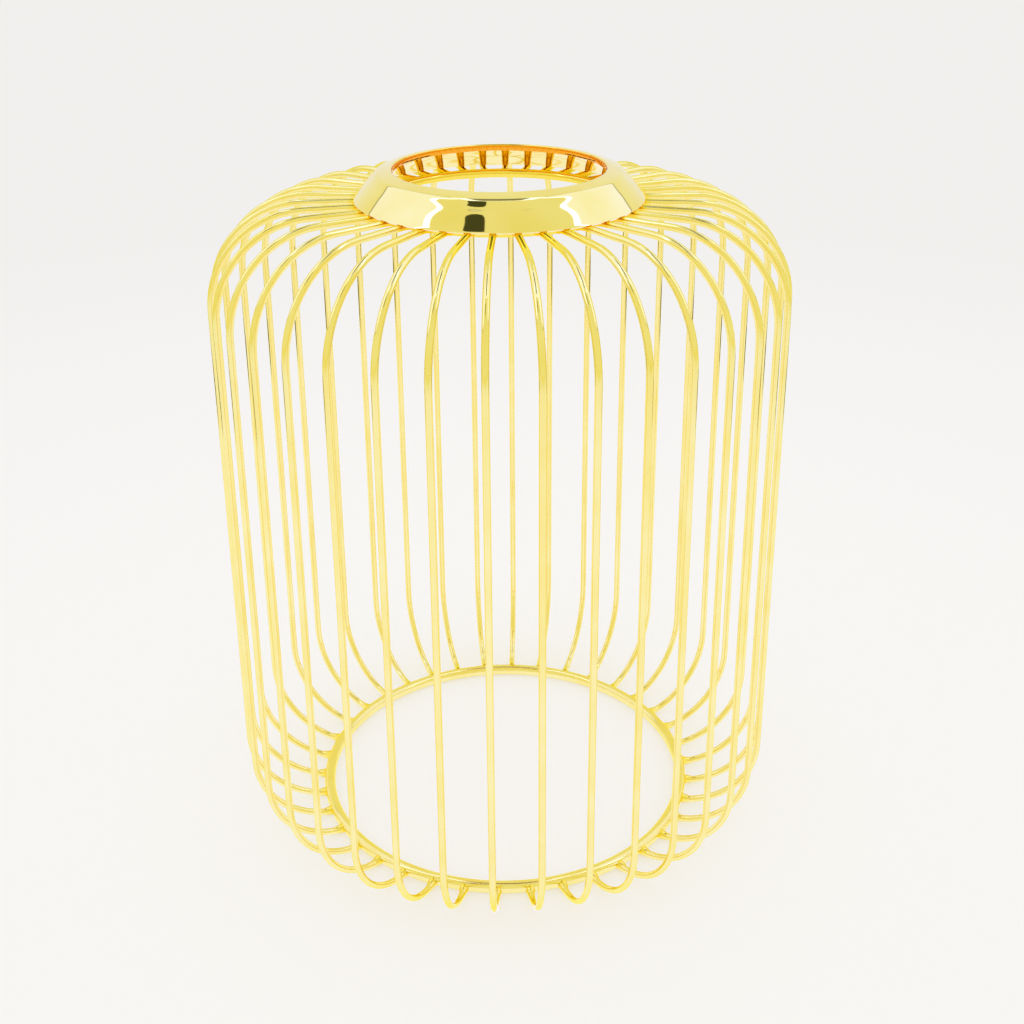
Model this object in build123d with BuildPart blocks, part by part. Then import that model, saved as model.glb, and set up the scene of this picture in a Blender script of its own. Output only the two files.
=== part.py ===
from build123d import *
from math import acos, cos, degrees, pi, radians, sin, sqrt, tan
import os

os.makedirs("parts", exist_ok=True)

# Wire cage lampshade, in millimetres. Z is the axis of the shade, and the origin is the middle of the
# base that it stands on. Bent wires, welded end on to a small ring at the top and to a thicker ring
# at the bottom, carry a collar of spun sheet with the opening for the lamp.

# Upright wires. Radii are to the middle of the wire.
wire_count = 38
wire_diameter = 2.5
body_radius = 104.0
cage_height = 247.5
top_bend_radius = 34.0
bottom_bend_radius = 32.5

# Rings of round rod that the wires end on.
top_ring_radius = 43.8
top_rod_diameter = 3.4
bottom_ring_radius = 73.5
bottom_rod_diameter = 4.5
weld_gap = 0.2

# Collar: a steep cone that stands on the wires, a land that rises a little to the opening, and a
# short neck turned down.
sheet = 0.8
seat_gap = 0.2
hem_radius = 52.0
collar_height = 10.6
land_radius = 43.8
land_rise = 1.3
opening_radius = 38.0
neck_depth = 2.6

# Wire and rod are drawn with six flat sides, and a bend with a few straight facets, because the wire
# is repeated so often. Each section keeps the area of the round one.
sides = 6
shoulder_facets = 5
heel_facets = 4


def to_flat(diameter):
    """From the middle of a section to one of its flats, for the area of a round of this diameter."""
    return sqrt(pi / 4 * diameter**2 / (sides * tan(pi / sides)))


def to_corner(diameter):
    """From the middle of the same section to one of its corners."""
    return to_flat(diameter) / cos(pi / sides)


# The top and underside of a wire are flats. A ring turns a flat to the wires that end on it, and its
# edges lie flush with them: the upper edge at the top of the cage, and the lower one at the foot.
top_run_height = cage_height - to_flat(wire_diameter)
top_ring_height = cage_height - to_corner(top_rod_diameter)
bottom_ring_height = to_corner(bottom_rod_diameter)
top_end_radius = top_ring_radius + to_flat(top_rod_diameter) + weld_gap
foot_end_radius = bottom_ring_radius + to_flat(bottom_rod_diameter) + weld_gap

# The bend at the foot meets the ring a little before it is level.
heel_angle = degrees(acos(1 - (body_radius - foot_end_radius) / bottom_bend_radius))
side_end_height = to_flat(wire_diameter) + bottom_bend_radius * sin(radians(heel_angle))
hem_level = cage_height + seat_gap
rim_level = hem_level + collar_height


def ring(radius, height, rod_diameter):
    """Ring of rod round the axis, with a flat all round its outer side."""
    with BuildPart() as hoop:
        with BuildSketch(Plane.XZ):
            with Locations((radius, height)):
                RegularPolygon(to_corner(rod_diameter), sides, rotation=180 / sides)
        revolve(axis=Axis.Z)
    return hoop.part


# Collar, spun from one sheet. The hem is cut off level, so that it sits flat on the wires.
with BuildPart() as collar:
    with BuildSketch(Plane.XZ):
        with BuildLine():
            Polyline(
                (hem_radius, hem_level),
                (land_radius, rim_level - land_rise),
                (opening_radius, rim_level),
                (opening_radius, rim_level - neck_depth),
            )
            offset(amount=sheet, side=Side.LEFT)
        make_face()
    revolve(axis=Axis.Z)
    split(bisect_by=Plane.XY.offset(hem_level), keep=Keep.TOP)
collar.part.label = "top_collar"
export_step(collar.part, "parts/top_collar.step")

# Small ring under the collar, and the thick one at the foot.
top_ring = ring(top_ring_radius, top_ring_height, top_rod_diameter)
top_ring.label = "top_ring"
export_step(top_ring, "parts/top_ring.step")

bottom_ring = ring(bottom_ring_radius, bottom_ring_height, bottom_rod_diameter)
bottom_ring.label = "bottom_ring"
export_step(bottom_ring, "parts/bottom_ring.step")

# One wire: out from the top ring, round the shoulder, down the side, and in to the bottom ring.
with BuildPart() as wire:
    with BuildLine(Plane.XZ) as path:
        top_run = Line((top_end_radius, top_run_height), (body_radius - top_bend_radius, top_run_height))
        shoulder = JernArc(top_run @ 1, top_run % 1, top_bend_radius, -90)
        side = Line(shoulder @ 1, (body_radius, side_end_height))
        heel = JernArc(side @ 1, side % 1, bottom_bend_radius, -heel_angle)
    stations = [(top_run @ 0, top_run % 0)]
    for step in range(shoulder_facets + 1):
        stations.append((shoulder @ (step / shoulder_facets), shoulder % (step / shoulder_facets)))
    for step in range(heel_facets):
        stations.append((heel @ (step / heel_facets), heel % (step / heel_facets)))
    # The foot is cut upright, to lie against the flat of the ring.
    stations.append((heel @ 1, (-1, 0, 0)))
    for place, heading in stations:
        with BuildSketch(Plane(origin=place, x_dir=(0, 1, 0), z_dir=heading)):
            RegularPolygon(to_corner(wire_diameter), sides)
    loft(ruled=True)

# The same wire all the way round, each one a piece of its own.
for number in range(wire_count):
    with BuildPart() as upright:
        add(wire.part, rotation=(0, 0, number * 360 / wire_count))
    upright.part.label = f"wire_{number + 1:02d}"
    export_step(upright.part, f"parts/{upright.part.label}.step")
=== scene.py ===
# %% [markdown]
# # A wire cage lampshade in yellow gold
#
# The shade is a round cage of bent wires, welded to a small ring at the top and to a thicker ring
# at the foot, with a bright spun collar round the opening for the lamp. Everything is measured in
# metres, and the shade stands on the floor with its axis on Z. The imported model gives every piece
# its place, and this script gives it its look.

# %% Load the fixed frame
import math

import bpy
from mathutils import Euler, Matrix, Vector


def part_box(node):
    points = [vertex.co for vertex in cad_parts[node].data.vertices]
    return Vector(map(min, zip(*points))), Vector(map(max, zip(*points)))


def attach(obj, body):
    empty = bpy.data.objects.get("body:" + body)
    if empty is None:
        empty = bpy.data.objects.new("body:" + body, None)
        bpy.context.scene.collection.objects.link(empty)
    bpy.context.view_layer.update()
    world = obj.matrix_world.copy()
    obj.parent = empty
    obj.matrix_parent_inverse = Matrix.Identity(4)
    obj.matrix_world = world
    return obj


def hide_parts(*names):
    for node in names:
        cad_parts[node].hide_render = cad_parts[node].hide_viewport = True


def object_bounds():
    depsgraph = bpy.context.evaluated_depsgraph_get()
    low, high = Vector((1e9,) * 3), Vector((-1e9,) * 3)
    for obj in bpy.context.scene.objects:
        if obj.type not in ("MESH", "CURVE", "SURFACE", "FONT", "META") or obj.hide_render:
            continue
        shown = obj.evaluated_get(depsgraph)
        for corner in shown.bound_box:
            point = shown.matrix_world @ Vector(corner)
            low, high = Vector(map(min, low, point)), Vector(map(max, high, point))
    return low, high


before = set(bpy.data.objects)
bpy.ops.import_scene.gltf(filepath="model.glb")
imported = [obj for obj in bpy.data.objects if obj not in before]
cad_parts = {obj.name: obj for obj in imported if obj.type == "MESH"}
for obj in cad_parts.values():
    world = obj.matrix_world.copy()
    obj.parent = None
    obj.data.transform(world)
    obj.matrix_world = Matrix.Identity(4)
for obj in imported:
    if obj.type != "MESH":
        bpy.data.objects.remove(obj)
cad_low, cad_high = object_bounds()
half_height = cad_high.z / 2
wire_names = sorted(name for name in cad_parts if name.startswith("wire_"))
print("nodes", len(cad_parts), "wires", len(wire_names), "height", round(cad_high.z, 4))

# %% [markdown]
# ## Working by hand
#
# Blender's operators act on whatever is selected, and loading leaves the whole model selected. So
# the first habit is to let go of everything before a new piece is started. A finished piece has its
# place in its mesh and its object at the origin, so `settle` applies the transform. Every piece of
# this shade starts as a circle, which is then pushed out or spun in edit mode.

# %% Selecting and settling
touching = 0.00001


def let_go():
    bpy.ops.object.select_all(action="DESELECT")


def pick(piece):
    let_go()
    piece.select_set(True)
    bpy.context.view_layer.objects.active = piece


def settle(piece, name):
    """The place goes into the mesh, and the object stays at the origin."""
    pick(piece)
    bpy.ops.object.transform_apply(location=True, rotation=True, scale=True)
    piece.name = name
    piece.data.name = name


def round_off(piece, angle):
    """Smooth shading, with the edges that turn by more degrees than the angle kept sharp."""
    pick(piece)
    bpy.ops.object.shade_smooth_by_angle(angle=math.radians(angle))


def report(piece):
    print(piece.name, "faces", len(piece.data.polygons), [round(v, 4) for v in piece.bound_box[6]])


# %% Shaping in edit mode
def start_circle(sides, radius, place, turn=(0, 0, 0), fill="NOTHING"):
    """A new circle in its place, left in edit mode with all of it selected."""
    let_go()
    bpy.ops.mesh.primitive_circle_add(
        vertices=sides, radius=radius, fill_type=fill, location=place, rotation=turn
    )
    bpy.ops.object.transform_apply(location=True, rotation=True, scale=True)
    bpy.ops.object.mode_set(mode="EDIT")
    bpy.ops.mesh.select_all(action="SELECT")
    return bpy.context.object


def push(x=0.0, z=0.0, swell=1.0):
    """Extrude what is selected by a step, and swell or shrink its new end."""
    bpy.ops.mesh.extrude_region_move(TRANSFORM_OT_translate={"value": (x, 0, z)})
    if swell != 1.0:
        bpy.ops.transform.resize(value=(swell, swell, swell))


def close_up():
    """Merge what lies on itself, turn every face outwards and leave edit mode."""
    bpy.ops.mesh.select_all(action="SELECT")
    bpy.ops.mesh.remove_doubles(threshold=touching)
    bpy.ops.mesh.normals_make_consistent(inside=False)
    bpy.ops.object.mode_set(mode="OBJECT")


# %% [markdown]
# ## The upright wire
#
# Each wire is one length of 2.5 mm wire. It leaves the small ring level, under the hem of the
# collar, bends over the shoulder, runs down the side and bends in under the body, where it ends on
# the thick ring. A curve with a round bevel would do it in fewer lines. Here it is made as a smith
# would: a round section is drawn at the cut end, pushed out straight, and then spun about the
# centre of each bend. Both ends swell where they run into the rings, because that is where the
# welds are: little under the collar, and to a good half more than the wire at the foot.

# %% Sizes of the wire, from the frame
wire_radius = 0.00125
shoulder_bend = 0.034
heel_bend = 0.0325
wire_sides = 16
bend_steps = 14
soft_angle = 60

wire_low, wire_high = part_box(wire_names[0])
small_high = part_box("top_ring")[1]
thick_low, thick_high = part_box("bottom_ring")

top_level = wire_high.z - wire_radius
foot_level = wire_low.z + wire_radius
body_radius = cad_high.x - wire_radius
heel_turn = math.acos(1 - (body_radius - thick_high.x) / heel_bend)
side_low = foot_level + heel_bend * math.sin(heel_turn)
print("body radius", round(body_radius, 4), "heel turns", round(math.degrees(heel_turn), 1))

# %% Weld the ends
weld_reach = 0.0035
weld_steps = ((0.0003, 1.1), (0.0004, 1.04), (0.0007, 0.9))
foot_flare = 1.4
top_flare = 1.15


def swell_into_ring(flare, lean):
    """The weld at a wire's end. It flares to the rod, and leans up (1) or down (-1)."""
    bpy.ops.transform.resize(value=(1, flare, flare))
    bpy.ops.transform.translate(value=(0, 0, lean * wire_radius * (flare - 1)))
    radius = wire_radius * flare
    for step, swell in weld_steps:
        push(x=-step, z=lean * radius * (swell - 1), swell=swell)
        radius *= swell


def select_cut_end(wire):
    """Select the flat end where the wire was started."""
    bpy.ops.mesh.select_all(action="DESELECT")
    bpy.ops.object.mode_set(mode="OBJECT")
    for vertex in wire.data.vertices:
        at_end = abs(vertex.co.x - wire_low.x) < touching / 10
        vertex.select = at_end and vertex.co.z > half_height
    bpy.ops.object.mode_set(mode="EDIT")


# %% Bend one wire
under_hem = 0.0512
past_hem = 0.0545


def bend(turn, centre):
    """Spin what is selected about the centre of a bend."""
    bpy.ops.mesh.spin(steps=bend_steps, angle=turn, center=centre, axis=(0, -1, 0))


def bend_wire():
    level = (0, math.pi / 2, 0)
    wire = start_circle(wire_sides, wire_radius, (wire_low.x, 0, top_level), level, "NGON")
    push(x=weld_reach)
    push(x=under_hem - wire_low.x - weld_reach)
    push(x=past_hem - under_hem)
    push(x=body_radius - shoulder_bend - past_hem)
    bend(math.pi / 2, (body_radius - shoulder_bend, 0, top_level - shoulder_bend))
    push(z=side_low - top_level + shoulder_bend)
    bend(heel_turn, (body_radius - heel_bend, 0, side_low))
    swell_into_ring(foot_flare, 1)
    select_cut_end(wire)
    swell_into_ring(top_flare, -1)
    close_up()
    return wire


first_wire = bend_wire()
print("sections along the wire", len(first_wire.data.vertices) // wire_sides)

# %% [markdown]
# The gold isn't painted the same all over. Under the hem of the collar, in the neck, on the small
# ring and on the weld at the foot it is painted warmer, as painted shade and painted reflection of
# gold in gold. So each point of a mesh keeps how much painted shade it has, and the plating reads
# it further down. Vertex colours could hold it too, but a single number is all that is needed.

# %% Keep the painted shade that makes the gold warmer
# Painted shade under the hem of the collar, and at the weld on the foot.
hem_painted_shade = 0.65
foot_weld_painted_shade = 0.45


def ramp(value, start, end):
    """0 up to the start, 1 from the end on, and even between them."""
    return min(1.0, max(0.0, (value - start) / (end - start)))


def store_painted_shade(piece, share):
    """Keep how much painted shade each point has, from 0 to 1, for the plating to read."""
    layer = piece.data.attributes.new("painted_warm_shade", "FLOAT", "POINT")
    for vertex, value in zip(piece.data.vertices, layer.data):
        value.value = share(math.hypot(vertex.co.x, vertex.co.y), vertex.co.z)


def wire_painted_shade(radius, level):
    """Painted shade: most under the hem of the collar, none past it, some on the weld at the foot.
    """
    if level > half_height:
        return hem_painted_shade * ramp(radius, past_hem, under_hem)
    return foot_weld_painted_shade * ramp(radius, thick_high.x + weld_reach, thick_high.x)


store_painted_shade(first_wire, wire_painted_shade)
settle(first_wire, "bent_wire_01")
round_off(first_wire, soft_angle)
report(first_wire)

# %% [markdown]
# ## Thirty-eight of them
#
# The first wire is copied round the axis, once for every wire in the frame. Each copy has a mesh of
# its own, turned into its place, so that its object stays at the origin like the others.

# %% Copy the wire round the axis
wires = [first_wire]
for number in range(1, len(wire_names)):
    copy = first_wire.copy()
    copy.data = first_wire.data.copy()
    copy.data.transform(Matrix.Rotation(2 * math.pi * number / len(wire_names), 4, "Z"))
    copy.name = copy.data.name = f"bent_wire_{number + 1:02d}"
    bpy.context.scene.collection.objects.link(copy)
    wires.append(copy)
print("wires", len(wires))

# %% [markdown]
# ## The two rings
#
# Both rings are rod, rolled up and butt welded, and the weld is dressed flush under the plating, so
# that nothing shows of it. A section is drawn on its side of the axis and spun all the way round. A
# torus would be quicker, but the section is easier to place by its distance from the axis.

# %% Roll a ring
ring_steps = 192
ring_sides = 24
thick_rod = 0.0045
small_rod = 0.0034
# Painted shade on the small ring, which lies under the collar.
ring_painted_shade = 0.4


def roll_ring(name, outer_radius, level, rod):
    upright = (math.pi / 2, 0, 0)
    ring = start_circle(ring_sides, rod / 2, (outer_radius - rod / 2, 0, level), upright)
    bpy.ops.mesh.spin(steps=ring_steps, angle=2 * math.pi, center=(0, 0, 0), axis=(0, 0, 1))
    close_up()
    settle(ring, name)
    round_off(ring, soft_angle)
    report(ring)
    return ring


def neck_ring_painted_shade(radius, level):
    """Painted shade, the same all over the small ring, because the collar covers it."""
    return ring_painted_shade


foot_ring = roll_ring("foot_ring", thick_high.x, thick_low.z + thick_rod / 2, thick_rod)
neck_ring = roll_ring("neck_ring", small_high.x, small_high.z - small_rod / 2, small_rod)
store_painted_shade(neck_ring, neck_ring_painted_shade)

# %% [markdown]
# ## The spun collar
#
# The collar is one sheet, spun over a former: a steep cone that stands on the wires, a soft
# shoulder, a land that rises a little to the opening and an edge turned down. The spinning roller
# leaves the cone very slightly full near the hem and hollow under the shoulder, and the reflections
# bend there. A lathe section with a Screw modifier would do. Here the hem is drawn as a circle, and
# each step of the profile is one extrusion that is moved up and drawn in. Solidify then gives the
# sheet its thickness, on the inside, and a fine bevel breaks its edges.

# %% Sizes of the collar
collar_low, collar_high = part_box("top_collar")
hem_radius = collar_high.x
opening_radius = 0.038
shoulder_radius = 0.0438
land_rise = 0.0013
neck_depth = 0.0026
sheet = 0.0008
soft_shoulder = 0.003
soft_edge = 0.0008
roller_wave = 0.00009
cone_steps = 16
print("hem radius", round(hem_radius, 4), "rise", round(collar_high.z - collar_low.z, 4))


# %% Profile of the collar
def rounded(points, radii, steps=6):
    """The same corners as given, with an arc of each radius in place of the corner."""
    path = [Vector(points[0])]
    for before, corner, after, radius in zip(points, points[1:], points[2:], radii):
        corner = Vector(corner)
        back = (Vector(before) - corner).normalized()
        ahead = (Vector(after) - corner).normalized()
        half = back.angle(ahead) / 2
        middle = corner + (back + ahead).normalized() * radius / math.sin(half)
        start = corner + back * radius / math.tan(half)
        end = corner + ahead * radius / math.tan(half)
        for step in range(steps + 1):
            spoke = (start - middle).lerp(end - middle, step / steps)
            path.append(middle + spoke.normalized() * radius)
    path.append(Vector(points[-1]))
    return path


corners = [
    (hem_radius, collar_low.z),
    (shoulder_radius, collar_high.z - land_rise),
    (opening_radius, collar_high.z),
    (opening_radius, collar_high.z - neck_depth),
]
profile = rounded(corners, [soft_shoulder, soft_edge])
cone = profile[1] - profile[0]
outwards = Vector((cone.y, -cone.x)).normalized()
waved = []
for step in range(1, cone_steps):
    along = step / cone_steps
    swell = roller_wave * math.sin(2 * math.pi * along**2)
    waved.append(profile[0] + cone * along + outwards * swell)
profile = profile[:1] + waved + profile[1:]
print("profile points", len(profile))

# %% Spin the collar
collar_sides = 192
broken_edge = 0.0002
shoulder_margin = 0.0003
# Width over which the painted shade in the collar fades out near the shoulder.
shade_fade = 0.0015
inside = 0.0005


def collar_painted_shade(radius, level):
    """Painted shade, full on the neck and under the land, fading near the shoulder."""
    rise = (radius - opening_radius) / (shoulder_radius - opening_radius)
    surface = collar_high.z - land_rise * max(0.0, rise)
    reach = shoulder_radius + shoulder_margin
    if radius < reach and level < surface - inside:
        return ramp(radius, reach, reach - shade_fade)
    return 0.0


def spin_collar():
    collar = start_circle(collar_sides, profile[0].x, (0, 0, profile[0].y))
    for here, there in zip(profile, profile[1:]):
        draw_in = there.x / here.x
        push(z=there.y - here.y)
        bpy.ops.transform.resize(value=(draw_in, draw_in, 1))
    close_up()
    settle(collar, "spun_collar")
    wall = collar.modifiers.new("wall", "SOLIDIFY")
    wall.thickness = sheet
    wall.offset = -1
    edge = collar.modifiers.new("edge", "BEVEL")
    edge.width = broken_edge
    edge.segments = 2
    edge.limit_method = "ANGLE"
    edge.angle_limit = math.radians(60)
    for modifier in (wall.name, edge.name):
        bpy.ops.object.modifier_apply(modifier=modifier)
    round_off(collar, 50)
    store_painted_shade(collar, collar_painted_shade)
    return collar


collar = spin_collar()
report(collar)

# %% [markdown]
# ## Building with shader nodes
#
# A material is a small net of nodes. The same few kinds come back in the metal, the floor, the sky
# and the cards, so each kind gets a helper that adds the node, links it and hands on what it gives.
# A node group would be the way to do this by hand.


# %% Nodes that make a pattern
def noise(tree, place, scale, detail):
    """Noise over the given place, from 0 to 1."""
    texture = tree.nodes.new("ShaderNodeTexNoise")
    texture.inputs["Scale"].default_value = scale
    texture.inputs["Detail"].default_value = detail
    tree.links.new(place, texture.inputs["Vector"])
    return texture.outputs["Fac"]


def map_range(tree, value, source=(0.0, 1.0), target=(0.0, 1.0)):
    """The value moved from the source range to the target range."""
    mapped = tree.nodes.new("ShaderNodeMapRange")
    mapped.inputs["From Min"].default_value, mapped.inputs["From Max"].default_value = source
    mapped.inputs["To Min"].default_value, mapped.inputs["To Max"].default_value = target
    tree.links.new(value, mapped.inputs["Value"])
    return mapped.outputs["Result"]


def bump(tree, height, depth, normal=None):
    """Relief of the given depth, laid over another one where that is given."""
    relief = tree.nodes.new("ShaderNodeBump")
    relief.inputs["Distance"].default_value = depth
    tree.links.new(height, relief.inputs["Height"])
    if normal is not None:
        tree.links.new(normal, relief.inputs["Normal"])
    return relief.outputs["Normal"]


# %% Nodes that mix
def fade_between(tree, value, start, end):
    """One colour fading to another. Each end is a position and its colour."""
    fade = tree.nodes.new("ShaderNodeValToRGB")
    for stop, (position, colour) in zip(fade.color_ramp.elements, (start, end)):
        stop.position = position
        stop.color = (*colour, 1)
    tree.links.new(value, fade.inputs["Fac"])
    return fade.outputs["Color"]


def mix_colours(tree, share, base, other):
    """The base colour where the share is 0, and the other one where it is 1."""
    mix = tree.nodes.new("ShaderNodeMix")
    mix.data_type = "RGBA"
    tree.links.new(share, mix.inputs["Factor"])
    tree.links.new(base, mix.inputs["A"])
    if isinstance(other, tuple):
        mix.inputs["B"].default_value = (*other, 1)
    else:
        tree.links.new(other, mix.inputs["B"])
    return mix.outputs["Result"]


def calculate(tree, operation, first, second=None):
    """One step of arithmetic. The second value is a plain number or comes from a node."""
    sum_node = tree.nodes.new("ShaderNodeMath")
    sum_node.operation = operation
    tree.links.new(first, sum_node.inputs[0])
    if isinstance(second, float):
        sum_node.inputs[1].default_value = second
    elif second is not None:
        tree.links.new(second, sum_node.inputs[1])
    return sum_node.outputs["Value"]


# %% [markdown]
# ## Yellow gold plating
#
# The pieces are bright plated steel. The colour is in the metal's own reflection, so it is the base
# colour of a fully metallic surface, a little greener than real gold. Nothing is perfectly smooth:
# the roughness drifts a little, the wire carries faint marks along its length from the drawing die,
# and the spun sheet is slightly wavy, which makes the reflections in it swim. At the weld on the
# foot, under the hem, on the small ring and in the neck, the gold is painted warmer, as painted
# shade and painted reflection of gold in gold: each piece kept how much, and the colour goes from
# pale over warm yellow to orange with it. A photograph of gold could be wrapped round the pieces
# instead, but noise in their own coordinates has no seams.

# %% A plated metal
pale_gold = (0.98, 0.83, 0.18)
deep_gold = (0.96, 0.77, 0.12)
# Painted shade: the warm and orange golds stand in for shade and gold reflected in gold.
shaded_warm_gold = (0.98, 0.73, 0.03)
shaded_orange_gold = (0.98, 0.4, 0.015)
round_edge = (1.0, 0.93, 0.35)
sheet_edge = (1.0, 1.0, 1.0)
tint_scale = 60
smear_scale = 220


def gold_colour(tree, place):
    """Pale gold with a drift to deep gold, and painted warmer where there is painted shade."""
    drift = noise(tree, place, tint_scale, detail=3)
    polished = fade_between(tree, drift, (0.3, deep_gold), (0.7, pale_gold))
    # The attribute read here is the painted shade that each point keeps.
    painted_warm_shade = tree.nodes.new("ShaderNodeAttribute")
    painted_warm_shade.attribute_name = "painted_warm_shade"
    share = painted_warm_shade.outputs["Fac"]
    painted_shade_colour = fade_between(tree, share, (0.4, shaded_warm_gold), (1.0, shaded_orange_gold))
    return mix_colours(tree, map_range(tree, share, source=(0.0, 0.5)), polished, painted_shade_colour)


def plated_metal(name, edge, rough, wave_scale, wave_height, grain, grain_depth):
    """Gold plating, with its roughness drifting between two values, waves and fine marks."""
    material = bpy.data.materials.new(name)
    material.use_nodes = True
    tree = material.node_tree
    shader = tree.nodes["Principled BSDF"]
    shader.inputs["Metallic"].default_value = 1.0
    shader.inputs["Specular Tint"].default_value = (*edge, 1)
    place = tree.nodes.new("ShaderNodeTexCoord").outputs["Object"]
    smear = noise(tree, place, smear_scale, detail=4)
    waves = bump(tree, noise(tree, place, wave_scale, detail=1), wave_height)
    stretch = tree.nodes.new("ShaderNodeMapping")
    stretch.inputs["Scale"].default_value = grain
    tree.links.new(place, stretch.inputs["Vector"])
    marks = noise(tree, stretch.outputs["Vector"], scale=1, detail=2)
    tree.links.new(gold_colour(tree, place), shader.inputs["Base Color"])
    tree.links.new(map_range(tree, smear, target=rough), shader.inputs["Roughness"])
    tree.links.new(bump(tree, marks, grain_depth, waves), shader.inputs["Normal"])
    return material


# %% Three finishes
wire_finish = plated_metal(
    "drawn wire, plated",
    edge=round_edge,
    rough=(0.06, 0.15),
    wave_scale=90,
    wave_height=0.00003,
    grain=(2500, 2500, 60),
    grain_depth=0.000003,
)
rod_finish = plated_metal(
    "rolled rod, plated",
    edge=round_edge,
    rough=(0.06, 0.16),
    wave_scale=70,
    wave_height=0.00004,
    grain=(900, 900, 2500),
    grain_depth=0.00001,
)
spun_finish = plated_metal(
    "spun sheet, plated",
    edge=sheet_edge,
    rough=(0.02, 0.06),
    wave_scale=55,
    wave_height=0.0001,
    grain=(300, 300, 4000),
    grain_depth=0.000003,
)
print("finishes", [finish.name for finish in (wire_finish, rod_finish, spun_finish)])


# %% Dress the pieces
def dress(piece, node, finish):
    """One piece rides on the body, stands for its node and has its finish."""
    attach(piece, "root")
    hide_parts(node)
    piece.data.materials.clear()
    piece.data.materials.append(finish)


dress(collar, "top_collar", spun_finish)
dress(neck_ring, "top_ring", rod_finish)
dress(foot_ring, "bottom_ring", rod_finish)
for wire, node in zip(wires, wire_names):
    dress(wire, node, wire_finish)
print("dressed", 3 + len(wires))

# %% [markdown]
# ## The floor
#
# The photograph is bright and almost without shadow. The floor is white card that glows with
# painted light, so most of its brightness is its own and only the rest takes shadow. The painted
# glow falls off a little away from the shade. A floor that only takes light would need lamps so
# strong that they bleach the gold.

# %% Floor
floor_radius = 9
floor_white = (0.575, 0.555, 0.445)
near_glow = (0.45, 0.448, 0.44)
far_glow = (0.38, 0.377, 0.365)

let_go()
bpy.ops.mesh.primitive_circle_add(vertices=96, radius=floor_radius, fill_type="NGON")
floor = bpy.context.object
floor.name = "floor"
floor_paint = bpy.data.materials.new("white floor")
floor_paint.use_nodes = True
floor_tree = floor_paint.node_tree
paint = floor_tree.nodes["Principled BSDF"]
paint.inputs["Base Color"].default_value = (*floor_white, 1)
paint.inputs["Roughness"].default_value = 0.8
paint.inputs["Specular IOR Level"].default_value = 0.0
paint.inputs["Emission Strength"].default_value = 1.0
where = floor_tree.nodes.new("ShaderNodeTexCoord")
distance = floor_tree.nodes.new("ShaderNodeVectorMath")
distance.operation = "LENGTH"
floor_tree.links.new(where.outputs["Object"], distance.inputs[0])
# Painted light: the floor glows by itself, brighter near the shade and fading outwards.
glow = fade_between(floor_tree, distance.outputs["Value"], (0.15, near_glow), (0.9, far_glow))
floor_tree.links.new(glow, paint.inputs["Emission Color"])
floor.data.materials.append(floor_paint)
print("floor radius", floor_radius)

# %% [markdown]
# ## The studio
#
# Polished metal shows the studio more than its own surface, so the studio gets what a product
# photographer would hang in it, lit with cool lamps. Lamps alone would leave only small white spots
# on it, so the light comes from a pale grey sky and from cards, which have edges for the metal to
# show. The backdrop that is seen past the floor is as pale as the floor. A large soft box stands on
# each side, with a narrow bright one before it, and one hangs overhead. A grey card under it, a
# small black one in front and a narrow brown flag low on each side draw the dark lines that make
# metal look like metal. A bright sheet on the floor, fading outwards, lights the uprights from
# below, and a low bank on each side keeps the foot bright. The cards are seen in reflections only.

# %% Sky
low_sky = (0.89, 0.91, 1.15)
high_sky = (0.86, 0.87, 1.05)
pale_backdrop = (0.875, 0.87, 0.86)

sky = bpy.data.worlds.new("studio")
bpy.context.scene.world = sky
sky.use_nodes = True
sky_tree = sky.node_tree
heading = sky_tree.nodes.new("ShaderNodeTexCoord")
split = sky_tree.nodes.new("ShaderNodeSeparateXYZ")
sky_tree.links.new(heading.outputs["Generated"], split.inputs["Vector"])
dome = fade_between(sky_tree, split.outputs["Z"], (0.45, low_sky), (0.85, high_sky))
seen = sky_tree.nodes.new("ShaderNodeLightPath").outputs["Is Camera Ray"]
studio_light = mix_colours(sky_tree, seen, dome, pale_backdrop)
sky_tree.links.new(studio_light, sky_tree.nodes["Background"].inputs["Color"])
print("sky", sky.name)


# %% Paper for a card
def glowing_paper(name, light, rim, corner, fade):
    """Paper with one glow inside and another at its rim, cut off outside it."""
    paper = bpy.data.materials.new(name)
    paper.use_nodes = True
    tree = paper.node_tree
    tree.nodes.clear()
    spot = tree.nodes.new("ShaderNodeTexCoord")
    parts = tree.nodes.new("ShaderNodeSeparateXYZ")
    tree.links.new(spot.outputs["Object"], parts.inputs["Vector"])
    across = calculate(tree, "POWER", calculate(tree, "ABSOLUTE", parts.outputs["X"]), corner)
    upwards = calculate(tree, "POWER", calculate(tree, "ABSOLUTE", parts.outputs["Y"]), corner)
    to_rim = calculate(tree, "POWER", calculate(tree, "ADD", across, upwards), 1 / corner)

    shine = tree.nodes.new("ShaderNodeEmission")
    clear = tree.nodes.new("ShaderNodeBsdfTransparent")
    cut = tree.nodes.new("ShaderNodeMixShader")
    output = tree.nodes.new("ShaderNodeOutputMaterial")
    shades = fade_between(tree, to_rim, (fade[0], light), (fade[1], rim))
    tree.links.new(shades, shine.inputs["Color"])
    tree.links.new(map_range(tree, to_rim, source=(0.97, 1.0)), cut.inputs["Fac"])
    tree.links.new(shine.outputs["Emission"], cut.inputs[1])
    tree.links.new(clear.outputs["BSDF"], cut.inputs[2])
    tree.links.new(cut.outputs["Shader"], output.inputs["Surface"])
    return paper


# %% A card
collar_top = Vector((0, 0, cad_high.z))


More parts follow.
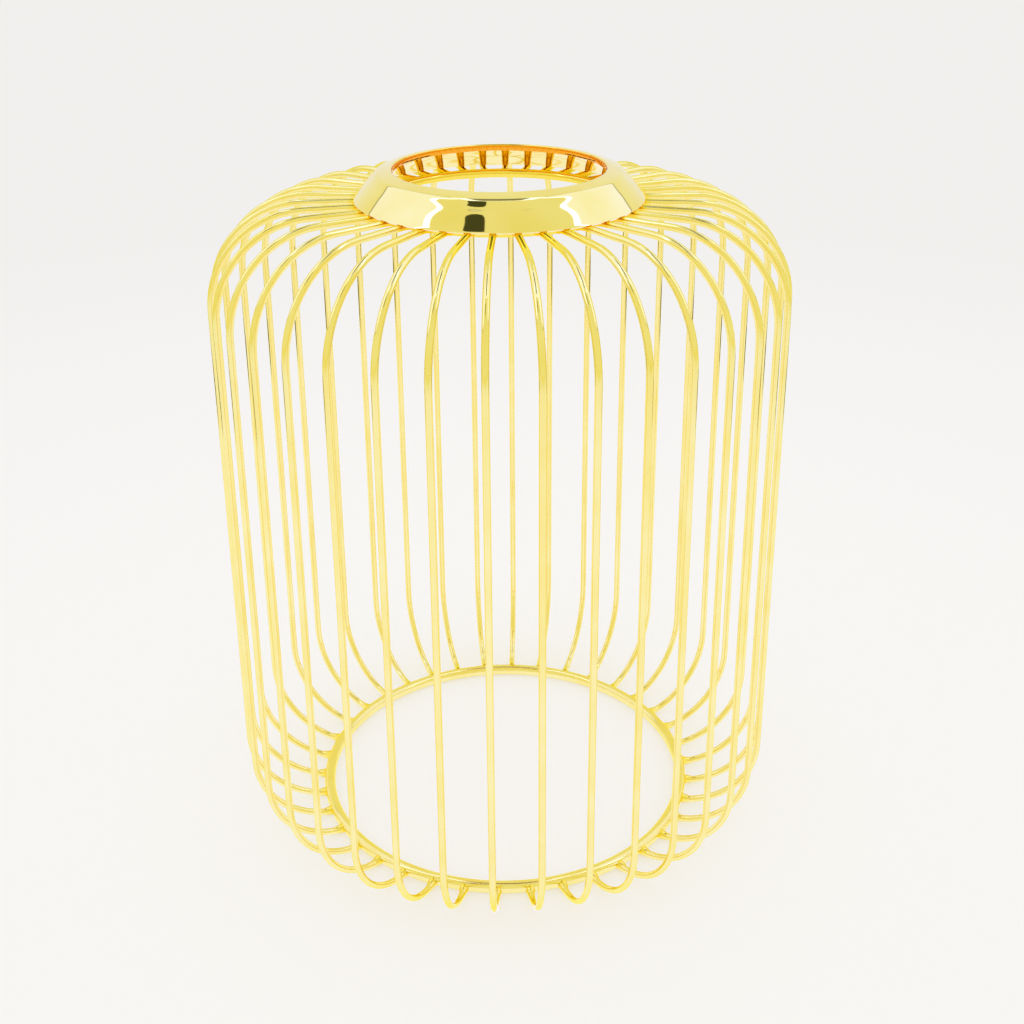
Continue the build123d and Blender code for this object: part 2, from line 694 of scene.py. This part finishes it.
def card(name, place, along, size, light, rim, corner=6.0, back=None, fade=(0.9, 0.95)):
    """A card in the studio. Its back is turned away from the collar, or to the given side."""
    place = Vector(place)
    back = (place - collar_top).normalized() if back is None else Vector(back)
    along = (Vector(along) - back * back.dot(Vector(along))).normalized()
    let_go()
    bpy.ops.mesh.primitive_plane_add(size=2)
    sheet_card = bpy.context.object
    sheet_card.name = name
    turn_to = Matrix((along, -back.cross(along), -back)).transposed().to_4x4()
    half = Matrix.Diagonal((size[0] / 2, size[1] / 2, 1, 1))
    sheet_card.matrix_world = Matrix.Translation(place) @ turn_to @ half
    sheet_card.visible_camera = False
    sheet_card.visible_diffuse = False
    sheet_card.visible_shadow = False
    sheet_card.data.materials.append(glowing_paper(name, light, rim, corner, fade))
    print("card", name, [round(v, 2) for v in place])


# %% Colours of the cards
box_light = (1.0, 1.1, 2.9)
strip_light = (1.8, 2.2, 9.0)
sheet_light = (1.0, 1.06, 2.55)
overhead_light = (1.3, 1.5, 5.0)
overhead_rim = (0.6, 0.6, 0.8)
grey = (0.4, 0.41, 0.48)
dark_grey = (0.25, 0.25, 0.28)
black = (0.06, 0.065, 0.06)
brown = (0.06, 0.045, 0.02)

# %% Hang the cards
sideways, inwards, upright = (1, 0, 0), (0, 1, 0), (0, 0, 1)
for side in (-1, 1):
    lean = (side * 0.05, 0.85, -0.54)
    out = (side, 0, 0)
    card("side box", (side * 0.76, 0.28, 0.93), lean, (1.0, 1.3), box_light, grey)
    card("side strip", (side * 0.71, -0.11, 1.13), lean, (0.1, 1.0), strip_light, grey, 8.0)
    card("side flag", (side * 0.42, 0.22, 0.06), upright, (0.04, 0.5), brown, brown, back=out)
    bank_place = (side * 0.2, 0.05, 0.042)
    card("foot bank", bank_place, upright, (0.083, 0.5), sheet_light, sheet_light, back=out)
card("overhead box", (0, 0.09, 1.36), inwards, (0.8, 0.8), overhead_light, overhead_rim)
card("overhead grey", (0, 0.09, 1.3), inwards, (0.62, 0.44), dark_grey, grey)
card("black card", (-0.25, -0.40, 1.1), sideways, (0.2, 0.24), black, black, corner=3.0)
card(
    "floor sheet",
    (0, 0, 0.0004),
    sideways,
    (3, 3),
    sheet_light,
    low_sky,
    corner=2.0,
    back=(0, 0, -1),
    fade=(0.25, 0.9),
)

# %% [markdown]
# ## Camera
#
# The picture was taken from a little under half a metre, looking down on the shade. The values come
# from a fit of the rims, rings and outline in the photograph. A small lens shift keeps the uprights
# as steep as they are there. A camera that tracks an empty would be quicker to aim, but a fitted
# one has its own height, distance and three turns.

# %% Camera
picture = 1024
focal_pixels = 1393.6
centre_x, centre_y = 510.8, 399.9
camera_distance = 0.4883
camera_height = 0.3661
look_down = 0.3839
look_right = 0.0072
roll = -0.0073
turn = math.radians(-2.1)

lens = bpy.data.cameras.new("camera")
lens.sensor_width = 36
lens.lens = focal_pixels / picture * lens.sensor_width
lens.shift_x = (picture / 2 - centre_x) / picture
lens.shift_y = (centre_y - picture / 2) / picture
camera = bpy.data.objects.new("camera", lens)
bpy.context.scene.collection.objects.link(camera)
foot = Matrix.Translation((0, -camera_distance, camera_height))
aim = Euler((math.pi / 2 - look_down, 0, -look_right)).to_matrix().to_4x4()
around, tilt = Matrix.Rotation(turn, 4, "Z"), Matrix.Rotation(roll, 4, "Z")
camera.matrix_world = around @ foot @ aim @ tilt
bpy.context.scene.camera = camera
bpy.context.scene.view_settings.view_transform = "Standard"
print("lens", round(lens.lens, 1), "mm")
